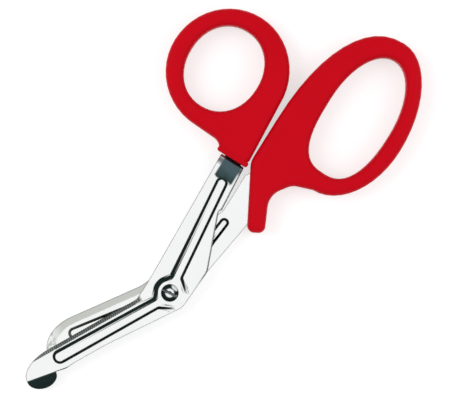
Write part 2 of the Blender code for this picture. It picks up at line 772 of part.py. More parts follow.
def make_top_blade(mat, parent):
    jaw_angle = JAW_ANGLE - JAW_CROSSING
    shank_rib = (TOP_SHANK_RIB_ANGLE, 0, SHANK_RIB_WIDTH / 2, TOP_SHANK_RIB)
    jaw_rib = (jaw_angle, JAW_RIB_OFFSET, JAW_RIB_WIDTH / 2, TOP_JAW_RIB)
    heel = (TOP_SHANK_RIB_ANGLE + jaw_angle) / 2
    loops = [top_outline(), finger_tang_hole()]
    blade = pressed_blade("top_blade", loops, TOP_Z, -1, shank_rib, jaw_rib, heel)
    boolean(blade, drill("top_blade_bore", (0, 0), STEM_RADIUS + STEM_GAP), "DIFFERENCE")
    start = top_jaw(CUT_START + BEVEL_WIDTH, -JAW_EDGE)
    grind(blade, start, top_jaw(TOP_JAW_LENGTH, -JAW_EDGE), top_jaw(0, -1), TOP_Z, -1)
    finish(blade, mat, parent)


# Handles


def thumb_outline():
    belly = THUMB_LOW + THUMB_BELLY
    top = THUMB_HOLE[1] + THUMB_HOLE_Y + THUMB_RIM
    right = THUMB_HOLE[0] + THUMB_HOLE_X + THUMB_RIM
    left = THUMB_HOLE[0] - THUMB_HOLE_X - THUMB_RIM
    middle_x = THUMB_HOLE[0] - THUMB_RING_SHIFT
    middle_y = (top + belly) / 2
    ring = quarter((middle_x, belly), (right, middle_y), True, step=LOOP_STEP)
    ring += quarter((right, middle_y), (middle_x, top), False, step=LOOP_STEP)[1:]
    ring += quarter((middle_x, top), (left, middle_y), True, step=LOOP_STEP)[1:]
    neck_start = MOUTH_X + COLLAR_LENGTH / 3
    round_edge = HANDLE_ROUND + CORNER_SPARE
    corners = sharp(ring)
    corners += [((MOUTH_X + NECK_SHOULDER, COLLAR_TOP + NECK_FLARE), NECK_FLARE_ROUND)]
    corners += [((neck_start, COLLAR_TOP - NECK_DROP), round_edge)]
    corners += [((neck_start, THUMB_LOW), round_edge)]
    return rounded(corners)


def make_handle(name, outline, hole, parent):
    """A moulded handle with rounded edges, before the pocket for its tang."""
    handle = plate(
        name, [outline, hole], HANDLE_THICKNESS, MATING_Z, parts, edge=HANDLE_ROUND, edge_steps=3
    )
    handle.parent = parent
    return handle


def cut_pocket(handle, corners, post, middle_z):
    """Sinks the pocket for a tang, and leaves a post through the tang's hole."""
    loops = [rounded(corners), post]
    depth = SHEET + 2 * TANG_GAP
    pocket = plate(handle.name + "_pocket", loops, depth, middle_z, cutters, grow=TANG_GAP)
    boolean(handle, pocket, "DIFFERENCE")


def make_thumb_handle(mat, parent):
    powers = (THUMB_FULLNESS,) * 4
    hole = oval(THUMB_HOLE, THUMB_HOLE_X, THUMB_HOLE_Y, powers, LOOP_STEP)
    handle = make_handle("thumb_handle", thumb_outline(), hole, parent)
    low = THUMB_LOW - COLLAR_LIP
    collar_end = MOUTH_X + COLLAR_LENGTH
    box = [(MOUTH_X, low), (collar_end, low), (collar_end, COLLAR_TOP), (MOUTH_X, COLLAR_TOP)]
    loop = rounded([(point, COLLAR_CORNER) for point in box])
    collar = plate(
        "thumb_collar", [loop], COLLAR_THICKNESS, MATING_Z, cutters, edge=COLLAR_ROUND, edge_steps=1
    )
    boolean(handle, collar, "UNION")
    cut_pocket(handle, thumb_tang(MOUTH_X - COLLAR_LENGTH), thumb_tang_hole(), FOOT_Z - JOGGLE_DROP)
    finish(handle, mat, parent)


def finger_outline():
    right = FINGER_HOLE[0] + FINGER_HOLE_X + FINGER_RIM
    left = FINGER_HOLE[0] - FINGER_HOLE_X - FINGER_RIM
    rear = (right, FINGER_HOLE[1] + FINGER_LOOP_LIFT)
    front = (left, FINGER_HOLE[1] + FINGER_LOOP_LIFT)
    bottom = (FINGER_HOLE[0] - FINGER_LOOP_SHIFT, FINGER_HOLE[1] - FINGER_HOLE_Y - FINGER_SIDE_RIM)
    crest = (FINGER_CREST, FINGER_HIGH)
    loop = quarter(bottom, rear, True, step=LOOP_STEP)
    loop += quarter(rear, crest, False, CREST_FULLNESS, LOOP_STEP)[1:]
    side = quarter(front, bottom, False, step=LOOP_STEP)[:-1]
    mouth_top = (NECK_TOP_X, FINGER_HIGH)
    slant = Vector(mouth_top) - Vector(NECK_TIP)
    down = Vector((slant.y, -slant.x)).normalized() * NECK_TIP_WIDTH
    round_edge = HANDLE_ROUND + CORNER_SPARE
    corners = sharp(loop)
    corners += [(mouth_top, NECK_TOP_ROUND), (NECK_TIP, round_edge)]
    corners += [(tuple(Vector(NECK_TIP) + down), round_edge), (NECK_ARCH, NECK_ARCH_ROUND)]
    corners += [((left - NECK_SWELL[0], NECK_SWELL[1]), NECK_SWELL_ROUND)]
    corners += sharp(side)
    return rounded(corners)


def make_finger_handle(mat, parent):
    hole = oval(FINGER_HOLE, FINGER_HOLE_X, FINGER_HOLE_Y, FINGER_FULLNESS, LOOP_STEP)
    handle = make_handle("finger_handle", finger_outline(), hole, parent)
    cut_pocket(handle, finger_tang(HEEL_REACH), finger_tang_hole(), TOP_Z)
    finish(handle, mat, parent)


# Pivot hardware


def make_screw(steel, parent, head_base, stem_end):
    """The screw: a slotted, domed head with a low rim, and a plain stem."""
    rim_top = head_base + HEAD_RIM
    profile = []
    for i in range(DOME_STEPS + 1):
        share = math.sin(math.pi / 2 * i / DOME_STEPS)
        profile.append((HEAD_RADIUS * share, rim_top + HEAD_DOME * (1 - share ** DOME_POWER)))
    profile += [(HEAD_RADIUS, head_base), (STEM_RADIUS, head_base)]
    profile += [(STEM_RADIUS, stem_end), (0, stem_end)]
    screw = turned("pivot_screw", profile, parts)
    half = SLOT_WIDTH / 2
    reach = HEAD_RADIUS * 1.2
    box = [(-reach, -half), (reach, -half), (reach, half), (-reach, half)]
    slot = plate("screw_slot", [box], 2 * SLOT_DEPTH, rim_top + HEAD_DOME, cutters)
    slot.rotation_euler.z = math.radians(SLOT_ANGLE)
    boolean(screw, slot, "DIFFERENCE")
    finish(screw, steel, parent)


def make_washer(steel, parent, top):
    """A slightly coned spring washer."""
    bore = STEM_RADIUS + STEM_GAP
    bottom = top - WASHER_THICKNESS - WASHER_CONE
    ring = [(bore, top), (WASHER_RADIUS, top - WASHER_CONE)]
    ring += [(WASHER_RADIUS, bottom), (bore, top - WASHER_THICKNESS)]
    washer = turned("spring_washer", ring, parts, ring=True)
    finish(washer, steel, parent)


def make_nut(steel, parent, top):
    """A thin hexagon nut with chamfered edges."""
    corner = NUT_ACROSS_FLATS / math.sqrt(3)
    hexagon = [polar(60 * i + 30, corner) for i in range(6)]
    loops = [hexagon, circle((0, 0), STEM_RADIUS + STEM_GAP)]
    nut = plate("pivot_nut", loops, NUT_THICKNESS, top - NUT_THICKNESS / 2, parts, edge=NUT_CHAMFER)
    finish(nut, steel, parent)


def make_pivot(steel, parent):
    """The screw, washer and nut, stacked from the outer face of one boss to the other."""
    boss_top = FOOT_Z + SHEET / 2 + RIB_HEIGHT
    boss_bottom = TOP_Z - SHEET / 2 - RIB_HEIGHT
    washer_top = boss_bottom - SEAT_GAP
    nut_top = washer_top - WASHER_THICKNESS - WASHER_CONE - SEAT_GAP
    make_screw(steel, parent, boss_top + SEAT_GAP, nut_top - NUT_THICKNESS - STEM_PROUD)
    make_washer(steel, parent, washer_top)
    make_nut(steel, parent, nut_top)


def set_on_origin(root):
    """Moves the shears so that the origin is under the middle of their bounding box."""
    bpy.context.view_layer.update()
    corners = []
    for obj in parts.objects:
        if obj.type == "MESH":
            corners += [obj.matrix_world @ vert.co for vert in obj.data.vertices]
    low = [min(c[i] for c in corners) for i in range(3)]
    high = [max(c[i] for c in corners) for i in range(3)]
    root.location = (-(low[0] + high[0]) / 2, -(low[1] + high[1]) / 2, -low[2])


def empty(name, parent):
    obj = bpy.data.objects.new(name, None)
    obj.empty_display_size = 0.01
    obj.parent = parent
    parts.objects.link(obj)
    return obj


def main():
    global parts, cutters
    clear_scene()
    parts = new_collection("trauma_shears")
    cutters = new_collection("cutters")
    blade_steel = material("blade_steel", (0.80, 0.81, 0.81), 0.22, 1.0)
    pivot_steel = material("pivot_steel", (0.70, 0.71, 0.72), 0.28, 1.0)
    red_plastic = material("red_plastic", (0.56, 0.003, 0.014), 0.32, 0.0)

    root = empty("shears_root", None)
    pivot_axis = empty("pivot_axis", root)
    make_foot_blade(blade_steel, root)
    make_top_blade(blade_steel, pivot_axis)
    make_thumb_handle(red_plastic, root)
    make_finger_handle(red_plastic, pivot_axis)
    make_pivot(pivot_steel, root)
    set_on_origin(root)


main()
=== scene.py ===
"""Trauma shears: finishes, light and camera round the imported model.

The world's units are metres. +Z is up, +X runs towards the handles and +Y towards the
thumb loop, with the origin under the middle of the closed shears.
"""

import json
import math

import bmesh
import bpy
import numpy
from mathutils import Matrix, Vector


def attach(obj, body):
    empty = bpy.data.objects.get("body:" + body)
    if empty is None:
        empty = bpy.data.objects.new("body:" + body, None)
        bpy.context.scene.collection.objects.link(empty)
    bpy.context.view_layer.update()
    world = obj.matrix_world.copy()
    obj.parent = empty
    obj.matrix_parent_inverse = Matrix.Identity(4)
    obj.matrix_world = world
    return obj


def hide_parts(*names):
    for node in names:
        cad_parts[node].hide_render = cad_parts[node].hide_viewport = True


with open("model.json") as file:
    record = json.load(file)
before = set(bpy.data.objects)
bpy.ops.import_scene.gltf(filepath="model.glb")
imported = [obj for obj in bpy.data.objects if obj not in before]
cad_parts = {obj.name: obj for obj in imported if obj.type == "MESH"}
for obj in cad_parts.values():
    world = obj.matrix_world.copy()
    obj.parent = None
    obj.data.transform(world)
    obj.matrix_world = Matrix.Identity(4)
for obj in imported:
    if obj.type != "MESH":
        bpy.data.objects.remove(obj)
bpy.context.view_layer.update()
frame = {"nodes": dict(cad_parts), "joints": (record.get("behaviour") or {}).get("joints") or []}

MM = 0.001
nodes = frame["nodes"]
hinge = frame["joints"][0]

# Sizes of the solids, with places measured from the pivot
PIVOT = Vector(hinge["pos_m"])
JAW_ANGLE = math.radians(151.5)        # direction of the foot blade's jaw
TOP_JAW_ANGLE = math.radians(144.2)    # and of the top blade's
JAW_EDGE = 4.0 * MM                    # a jaw's centre line to its cutting edge
SHEET = 1.5 * MM
HALF_GAP = 0.1 * MM                    # half of the running gap between the blades
TOOTH_PITCH = 0.9 * MM
NOSE_START = 37.0 * MM                 # round nose of the top blade's jaw
NOSE_LENGTH = 13.8 * MM
NOSE_WIDTH = 9.6 * MM                  # from its cutting edge to its back
SLOT_ANGLE = math.radians(95.0)        # direction of the screw's slot
SLOT_WIDTH = 0.75 * MM
HEAD_Z = 2.1 * MM                      # a height inside the screw's head

# Where the finishes and the painted reflections and shade change, from the pivot
JAW_START = 10.5 * MM                  # where the jaws begin, towards the tips
BEVEL_WIDTH = 1.35 * MM                # filed band with its teeth, just wider than the solid bevel
BAND_NARROWING = (30 * MM, 1 * MM)     # top jaw's ground band: over this length, by this width
REFLECTION_PATCH_X = 46.0 * MM                    # painted dark reflection before the thumb handle, and its two sides
REFLECTION_PATCH_LOW = 1.9 * MM
REFLECTION_PATCH_HIGH = 9.3 * MM
INNER_SIDE = math.radians(-83)         # square to the shank's rib, towards the inner edge and its painted contact shadow
INNER_START = 3.3 * MM                 # in that direction, past the rib
HIGHLIGHT_SPOT = (-13, 31)                # azimuth and slope of the painted highlight on the screw's dome
HIGHLIGHT_CONE = (17, 12)                 # degrees round it, to its edge and to where it is full

# Where the visible forms depart a little from the solids they stand for
PRESSED = 0.75 * MM                    # height of the solids' ribs, and that of the visible ones
PRESSED_SEEN = 0.6 * MM
FOLD_START = (51.3 * MM, -4.45 * MM)   # foot's fold: along the jaw and across to the edge
FOLD_END = (62.6 * MM, -2.55 * MM)
FOLD_HALF = 0.5 * MM                   # half of the round of the fold, seen from above
FOLD_ANGLES = (42, 35)                 # degrees of the solid's fold, and of the visible one
DOME = 1.1 * MM                        # height of the screw's solid dome, and of the visible one
DOME_SEEN = 0.85 * MM
DOME_POWERS = (4, 3)                   # how sharply each falls off towards the rim
BOSS_RING = (3.5 * MM, 8 * MM)         # radii round the boss's flank
RIB_START = 8 * MM                     # the jaw's rib, from the boss on
RIB_SIDE = 2.45 * MM                   # jaw's centre line to just past its rib, short of the teeth
RIB_DRAW = 0.6 * MM                    # the rib's cutting side is drawn in beside the boss
CREST_DRAW = 0.45 * MM                 # and its crest this much more, all along
RIB_SHARES = ((-4, 0), (2, 1), (10, 1), (42, 0))     # share of each, by millimetres along the jaw
CREST_SHARES = ((-4, 0), (2, 1), (46, 1), (49, 0))

# Colours
BRIGHT = ((0.86, 0.885, 0.88), (0.93, 0.935, 0.93))
TURNED = ((0.78, 0.81, 0.81), (0.92, 0.93, 0.93))
FOOT_GROUND = (0.62, 0.635, 0.60)
TOP_GROUND = (0.60, 0.615, 0.58)
# the filed bevel's two tones, mixed by speckled wear and by painted shade across its teeth
FILED_AND_SHADED = ((0.04, 0.055, 0.048), (0.25, 0.28, 0.26))
# painted dark reflection on the bend before the thumb handle
REFLECTION_SLATE = ((0.028, 0.050, 0.048), (0.065, 0.105, 0.118))
PAINTED_DARK_REFLECTION = (0.011, 0.019, 0.017)        # painted dark reflection on the steel's sloping flanks
# the same painted dark reflection, on the foot's fold and on the top jaw's rib
FOOT_PAINTED_REFLECTION = (0.024, 0.044, 0.042)
TOP_JAW_PAINTED_REFLECTION = (0.100, 0.120, 0.100)
# painted shade along the blades' edges, and a painted contact shadow
EDGE_SHADE = (0.01, 0.012, 0.012)
# painted shade in the screw's slot
SLOT_SHADE = (0.12, 0.14, 0.14)
RED = ((0.545, 0.0012, 0.0085), (0.60, 0.0016, 0.0105))
WHITE = (1.0, 1.0, 1.0)
HORIZON_GREY = (0.30, 0.31, 0.32)
PAPER_SEEN = (0.5, 0.5, 0.5)           # the floor's colour to the camera and in reflections
PAPER_LIT = (0.85, 0.85, 0.85)         # and for the light that it throws back

NOISE_SPREAD = (0.3, 0.7)              # where most of a noise texture's values lie

# The framing and light of the photograph
PHOTO_WIDTH = 167.85 * MM              # what its 450 pixels span at the shears
PHOTO_TURN = math.radians(-58)         # turn of the shears in it
PHOTO_MIDDLE = (40.2 * MM, 0.9 * MM)   # from the pivot, along the handles and across
CAMERA_HEIGHT = 1.0
SENSOR = 36.0
FLOOR_SIZE = 3.0
FLOOR_GLOW = 0.62
DOME_LIGHT = 0.62
LAMP_DISTANCE = 0.9
LAMP_SIZE = 0.6


# Shader helpers


def new_material(name):
    mat = bpy.data.materials.new(name)
    mat.use_nodes = True
    tree = mat.node_tree
    shader = tree.nodes["Principled BSDF"]
    return mat, tree, shader


def add(tree, kind, **settings):
    node = tree.nodes.new("ShaderNode" + kind)
    for key, value in settings.items():
        if key in node.inputs:
            node.inputs[key].default_value = value
        else:
            setattr(node, key, value)
    return node


def feed(tree, socket, value):
    """Link an input to the output of another node, or set it to a plain value."""
    if isinstance(value, bpy.types.NodeSocket):
        tree.links.new(value, socket)
    else:
        socket.default_value = value


def math_node(tree, operation, *values):
    node = add(tree, "Math", operation=operation)
    for socket, value in zip(node.inputs, values):
        feed(tree, socket, value)
    return node.outputs[0]


def product(tree, first, *others):
    for other in others:
        first = math_node(tree, "MULTIPLY", first, other)
    return first


def opposite(tree, value):
    return math_node(tree, "SUBTRACT", 1.0, value)


def dot(tree, a, b):
    node = add(tree, "VectorMath", operation="DOT_PRODUCT")
    feed(tree, node.inputs[0], a)
    feed(tree, node.inputs[1], b)
    return node.outputs["Value"]


def mix_colour(tree, factor, a, b):
    node = add(tree, "Mix", data_type="RGBA")
    feed(tree, node.inputs[0], factor)
    for socket, value in ((node.inputs[6], a), (node.inputs[7], b)):
        feed(tree, socket, (*value, 1.0) if isinstance(value, tuple) else value)
    return node.outputs[2]


def ramp(tree, factor, low, high, low_value=0.0, high_value=1.0):
    """A straight ramp of a value from low to high, clamped at both ends."""
    node = add(tree, "MapRange")
    feed(tree, node.inputs["Value"], factor)
    limits = {"From Min": low, "From Max": high, "To Min": low_value, "To Max": high_value}
    for name, value in limits.items():
        node.inputs[name].default_value = value
    return node.outputs[0]


def step(tree, value, place, softness):
    """0 before the place and 1 past it, or the other way round where softness is negative."""
    return ramp(tree, value, place - softness, place + softness)


def object_point(tree):
    return add(tree, "TexCoord").outputs["Object"]


def toward(tree, direction, azimuth, off_zenith):
    """Cosine of the angle between a direction and the one at the azimuth and off the zenith."""
    azimuth = math.radians(azimuth)
    tilt = math.radians(off_zenith)
    flat = math.sin(tilt)
    return dot(tree, direction, (flat * math.cos(azimuth), flat * math.sin(azimuth), math.cos(tilt)))


def inside(tree, cosine, outer, inner):
    """1 within the inner angle, falling to 0 at the outer one, both in degrees."""
    return ramp(tree, cosine, math.cos(math.radians(outer)), math.cos(math.radians(inner)))


def axis(tree, point, name):
    split = add(tree, "SeparateXYZ")
    tree.links.new(point, split.inputs[0])
    return split.outputs[name]


def scaled(tree, point, scale, turn=0.0):
    node = add(tree, "Mapping", vector_type="TEXTURE", Rotation=(0, 0, turn))
    tree.links.new(point, node.inputs["Vector"])
    size = add(tree, "VectorMath", operation="MULTIPLY")
    feed(tree, size.inputs[0], node.outputs[0])
    feed(tree, size.inputs[1], scale)
    return size.outputs[0]


def noise(tree, vector, detail, roughness):
    node = add(tree, "TexNoise", Scale=1.0, Detail=detail, Roughness=roughness)
    tree.links.new(vector, node.inputs["Vector"])
    return node.outputs["Fac"]


def mottle(tree, point, fineness, detail=2.0, roughness=0.5):
    return noise(tree, scaled(tree, point, (fineness,) * 3), detail, roughness)


def bump(tree, height, distance, normal, strength):
    node = add(tree, "Bump", Strength=strength, Distance=distance)
    tree.links.new(height, node.inputs["Height"])
    if normal is not None:
        tree.links.new(normal, node.inputs["Normal"])
    return node.outputs[0]


def round_edges(tree, radius):
    return add(tree, "Bevel", samples=6, Radius=radius).outputs[0]


def set_shader(tree, shader, colour, rough, metal, normal):
    inputs = (("Base Color", colour), ("Roughness", rough), ("Metallic", metal), ("Normal", normal))
    for name, value in inputs:
        feed(tree, shader.inputs[name], value)


# Places on the shears


def from_pivot(tree, point):
    node = add(tree, "VectorMath", operation="SUBTRACT")
    feed(tree, node.inputs[0], point)
    feed(tree, node.inputs[1], PIVOT)
    return node.outputs[0]


def along(tree, point, angle):
    """Distance of a point from the pivot, measured in the direction of the angle."""
    return dot(tree, from_pivot(tree, point), (math.cos(angle), math.sin(angle), 0))


def past_boss(tree, point):
    """Where a blade is past the boss, on its jaw."""
    return step(tree, axis(tree, point, "X"), PIVOT.x - JAW_START, -2.5 * MM)


def on_face(tree, point, z):
    """Where a point is on the flat face at height z."""
    off = math_node(tree, "ABSOLUTE", math_node(tree, "SUBTRACT", axis(tree, point, "Z"), z))
    return ramp(tree, off, 0.03 * MM, 0.12 * MM, 1.0, 0.0)


def ground_band(tree, point):
    """The matt band ground along the back and round the nose of the top blade's jaw."""
    length, width = BAND_NARROWING
    place = along(tree, point, TOP_JAW_ANGLE)
    across = along(tree, point, TOP_JAW_ANGLE - math.pi / 2)
    narrowing = ramp(tree, place, NOSE_START, NOSE_START - length, 0, width)
    across = math_node(tree, "SUBTRACT", across, narrowing)
    up = ramp(tree, across, -JAW_EDGE, NOSE_WIDTH - JAW_EDGE)
    down = ramp(tree, place, NOSE_START, NOSE_START + NOSE_LENGTH)
    squares = [product(tree, value, value) for value in (up, down)]
    reach = math_node(tree, "SQRT", math_node(tree, "ADD", *squares))
    blotches = mottle(tree, point, 700.0, 3.0, 0.6)
    ragged = math_node(tree, "MULTIPLY_ADD", blotches, 0.06, -0.03)
    band = ramp(tree, math_node(tree, "ADD", reach, ragged), 0.70, 0.75)
    on_nose = step(tree, place, NOSE_START + 8 * MM, 3 * MM)
    worn_off = product(tree, on_nose, step(tree, blotches, 0.53, -0.05))
    return product(tree, band, step(tree, place, 5 * MM, 1 * MM), opposite(tree, worn_off))


def toothed_bevel(tree, point):
    """Where the foot blade's bevel lies, and the grooves of its teeth across it."""
    place = along(tree, point, JAW_ANGLE)
    across = along(tree, point, JAW_ANGLE - math.pi / 2)
    past_edge = step(tree, across, JAW_EDGE - BEVEL_WIDTH, 0.05 * MM)
    past_start = step(tree, place, JAW_START, 0.5 * MM)
    upper = step(tree, axis(tree, point, "Z"), PIVOT.z + 2 * HALF_GAP, 0.05 * MM)
    grooves = math_node(tree, "SINE", product(tree, place, 2 * math.pi / TOOTH_PITCH))
    return product(tree, past_edge, past_start, upper), grooves


def reflection_patch(tree, point):
    """Where a dark reflection is painted on the foot blade's bend before the handle's mouth, and how far
    down that lies.
    """
    off = from_pivot(tree, point)
    wander = product(tree, mottle(tree, point, 420.0, 3.0, 0.6), 3 * MM)
    x = math_node(tree, "ADD", axis(tree, off, "X"), wander)
    y = axis(tree, off, "Y")
    past_start = step(tree, x, REFLECTION_PATCH_X + 1.6 * MM, 0.3 * MM)
    past_low = step(tree, y, REFLECTION_PATCH_LOW, 0.3 * MM)
    below_high = step(tree, y, REFLECTION_PATCH_HIGH, -0.3 * MM)
    return product(tree, past_start, past_low, below_high), step(tree, x, REFLECTION_PATCH_X + 4 * MM, 2 * MM)


def painted_reflection_slopes(tree, normal):
    """The sloping flanks of pressed forms, where a dark reflection is painted: neither the flats nor the
    walls.
    """
    upright = math_node(tree, "ABSOLUTE", axis(tree, normal, "Z"))
    return product(tree, step(tree, upright, 0.98, -0.008), step(tree, upright, 0.50, 0.08))


def painted_edge_shade(tree, rolled):
    """Painted shade along the edges of a sheet, where the normal rolled over them leaves the face's own.
    """
    facing = dot(tree, rolled, add(tree, "NewGeometry").outputs["Normal"])
    return product(tree, ramp(tree, facing, 0.95, 0.88), 0.55)


def painted_contact_shadow(tree, point, rolled):
    """More painted shade along the inner edge of the foot blade's shank: a painted contact shadow."""
    facing_in = ramp(tree, axis(tree, rolled, "Y"), -0.03, -0.14)
    on_shank = step(tree, axis(tree, point, "X"), PIVOT.x + 9 * MM, 3 * MM)
    past_rib = step(tree, along(tree, point, INNER_SIDE), INNER_START, 0.3 * MM)
    return product(tree, facing_in, on_shank, past_rib)


# Finishes, with painted reflections and shade


def grain(tree, point):
    """Fine lines along each blade: along the shank behind the pivot, along the jaw before it."""
    fine = (90.0, 4500.0, 900.0)
    mixer = add(tree, "Mix", data_type="FLOAT")
    feed(tree, mixer.inputs[0], step(tree, axis(tree, point, "X"), PIVOT.x, 4 * MM))
    for socket, turn in ((mixer.inputs[2], JAW_ANGLE), (mixer.inputs[3], 0.0)):
        feed(tree, socket, noise(tree, scaled(tree, point, fine, turn), 3.0, 0.6))
    return mixer.outputs[0]


def pressed_steel(tree, point, lines, ground, ground_colour):
    """Colour and roughness of bright steel that is ground grey in places."""
    bright = mix_colour(tree, mottle(tree, point, 120.0), *BRIGHT)
    darker = tuple(0.86 * c for c in ground_colour)
    colour = mix_colour(tree, ground, bright, mix_colour(tree, lines, darker, ground_colour))
    rough = ramp(tree, lines, *NOISE_SPREAD, 0.09, 0.16)
    return colour, math_node(tree, "ADD", rough, product(tree, ground, 0.14))


def foot_blade_material():
    """Pressed steel with a filed, toothed bevel and a painted dark reflection before the handle."""
    mat, tree, shader = new_material("foot_blade_steel")
    point = object_point(tree)
    lines = grain(tree, point)
    ground = product(tree, on_face(tree, point, PIVOT.z + HALF_GAP), past_boss(tree, point))
    colour, rough = pressed_steel(tree, point, lines, ground, FOOT_GROUND)
    rounded = round_edges(tree, 0.25 * MM)
    on_foot = step(tree, along(tree, point, JAW_ANGLE), FOLD_START[0] - 1.5 * MM, 0.5 * MM)
    # painted dark reflection on the sloping flanks, and on the foot's fold
    flank_reflection = mix_colour(tree, on_foot, PAINTED_DARK_REFLECTION, FOOT_PAINTED_REFLECTION)
    colour = mix_colour(tree, painted_reflection_slopes(tree, rounded), colour, flank_reflection)
    bevel, grooves = toothed_bevel(tree, point)
    specks = mottle(tree, point, 1400.0, 3.0, 0.7)
    # speckled wear, and painted shade striped across the teeth
    wear_and_tooth_shade = ramp(tree, math_node(tree, "ADD", specks, product(tree, grooves, 0.30)), 0.35, 0.75)
    colour = mix_colour(tree, bevel, colour, mix_colour(tree, wear_and_tooth_shade, *FILED_AND_SHADED))
    metal = opposite(tree, product(tree, bevel, 0.85))
    rough = math_node(tree, "ADD", rough, product(tree, bevel, 0.3))
    # painted dark reflection on the bend before the handle
    in_reflection_patch, fading = reflection_patch(tree, point)
    colour = mix_colour(tree, in_reflection_patch, colour, mix_colour(tree, fading, *REFLECTION_SLATE))
    # painted shade along the edges, and a painted contact shadow along the shank's inner edge
    rolled = round_edges(tree, 1.0 * MM)
    edge_and_contact_shade = math_node(tree, "MAXIMUM", painted_edge_shade(tree, rolled), painted_contact_shadow(tree, point, rolled))
    colour = mix_colour(tree, edge_and_contact_shade, colour, EDGE_SHADE)
    set_shader(tree, shader, colour, rough, metal, bump(tree, lines, 0.004 * MM, rounded, 0.35))
    return mat


def top_blade_material():
    """Pressed steel with a ground band along the back and round the nose of its jaw."""
    mat, tree, shader = new_material("top_blade_steel")
    point = object_point(tree)
    lines = grain(tree, point)
    ground = product(tree, on_face(tree, point, PIVOT.z - HALF_GAP), ground_band(tree, point))
    colour, rough = pressed_steel(tree, point, lines, ground, TOP_GROUND)
    rounded = round_edges(tree, 0.2 * MM)
    # painted dark reflection on the sloping flanks
    flank_reflection = mix_colour(tree, past_boss(tree, point), PAINTED_DARK_REFLECTION, TOP_JAW_PAINTED_REFLECTION)
    colour = mix_colour(tree, painted_reflection_slopes(tree, rounded), colour, flank_reflection)
    # painted shade along the edges
    colour = mix_colour(tree, painted_edge_shade(tree, round_edges(tree, 1.0 * MM)), colour, EDGE_SHADE)
    set_shader(tree, shader, colour, rough, 1.0, bump(tree, lines, 0.004 * MM, rounded, 0.35))
    return mat


def pivot_material():
    """Turned steel: faint rings round the pivot, painted shade in its slot, painted reflections on its
    dome.
    """
    mat, tree, shader = new_material("turned_steel")
    point = object_point(tree)
    flat = add(tree, "VectorMath", operation="MULTIPLY")
    feed(tree, flat.inputs[0], from_pivot(tree, point))
    feed(tree, flat.inputs[1], (1, 1, 0))
    radius = add(tree, "VectorMath", operation="LENGTH")
    feed(tree, radius.inputs[0], flat.outputs[0])
    rings = math_node(tree, "SINE", product(tree, radius.outputs["Value"], 2 * math.pi / (0.16 * MM)))
    spots = mottle(tree, point, 1500.0, 3.0)
    off_slot = math_node(tree, "ABSOLUTE", along(tree, point, SLOT_ANGLE + math.pi / 2))
    in_slot = step(tree, off_slot, SLOT_WIDTH / 2 - 0.02 * MM, -0.02 * MM)
    in_head = step(tree, axis(tree, point, "Z"), PIVOT.z + HEAD_Z, 0.1 * MM)
    # painted shade in the screw's slot
    colour = mix_colour(tree, product(tree, in_slot, in_head), mix_colour(tree, spots, *TURNED), SLOT_SHADE)
    rounded = round_edges(tree, 0.15 * MM)
    # painted dark reflection on the dome's slopes, broken by a painted highlight on one side
    painted_highlight = inside(tree, toward(tree, rounded, *HIGHLIGHT_SPOT), *HIGHLIGHT_CONE)
    dark = product(tree, painted_reflection_slopes(tree, rounded), opposite(tree, painted_highlight))
    colour = mix_colour(tree, dark, colour, PAINTED_DARK_REFLECTION)
    rough = ramp(tree, spots, *NOISE_SPREAD, 0.12, 0.24)
    set_shader(tree, shader, colour, rough, 1.0, bump(tree, rings, 0.003 * MM, rounded, 0.3))
    return mat


def plastic_material():
    """Moulded red plastic: a fine mould texture, slow shrink marks and a parting seam."""
    mat, tree, shader = new_material("moulded_red")
    point = object_point(tree)
    slow = mottle(tree, point, 70.0)
    fine = mottle(tree, point, 2600.0)
    colour = mix_colour(tree, slow, *RED)
    shader.inputs["Specular IOR Level"].default_value = 0.06
    seam_off = math_node(tree, "ABSOLUTE", math_node(tree, "SUBTRACT", axis(tree, point, "Z"), PIVOT.z))
    seam = ramp(tree, seam_off, 0.05 * MM, 0.16 * MM, 1.0, 0.0)
    normal = bump(tree, slow, 0.35 * MM, None, 0.25)
    normal = bump(tree, fine, 0.012 * MM, normal, 0.35)
    normal = bump(tree, seam, 0.06 * MM, normal, 0.8)
    rough = ramp(tree, fine, *NOISE_SPREAD, 0.30, 0.40)
    set_shader(tree, shader, colour, rough, 0.0, normal)
    return mat


# Reshaping


def flat_direction(angle):
    return Vector((math.cos(angle), math.sin(angle), 0))


def on_jaw(place, across):
    """A point of the foot blade's jaw, across towards its cutting edge."""
    return PIVOT + flat_direction(JAW_ANGLE) * place + flat_direction(JAW_ANGLE - math.pi / 2) * across


def within(value):
    return min(max(value, 0), 1)


def share_at(shares, place):
    return numpy.interp(place / MM, *zip(*shares))


def lower_ribs(mesh, face, outward):
    """Lower the pressed ribs and their hollows, with the sheet as thick as before."""
    far = 20 * MM
    before = (-far, 0, PRESSED, SHEET, SHEET + PRESSED, SHEET + PRESSED + far)
    after = (-far, 0, PRESSED_SEEN, SHEET, SHEET + PRESSED_SEEN, SHEET + PRESSED_SEEN + far)
    for vertex in mesh.vertices:
        depth = (vertex.co.z - face) * outward
        vertex.co.z = face + outward * float(numpy.interp(depth, before, after))


def open_foot(mesh):
    """Lift what lies beyond the foot's fold line, in step with its distance from the line."""
    start = on_jaw(*FOLD_START)
    out = Vector((0, 0, 1)).cross(on_jaw(*FOLD_END) - start).normalized()
    steep, flatter = (math.tan(math.radians(angle)) for angle in FOLD_ANGLES)
    for vertex in mesh.vertices:
        past = (vertex.co - start).dot(out) + FOLD_HALF
        on_round = min(max(past, 0), 2 * FOLD_HALF)
        straight = max(past - 2 * FOLD_HALF, 0)
        vertex.co.z += (steep - flatter) * (on_round ** 2 / (4 * FOLD_HALF) + straight)


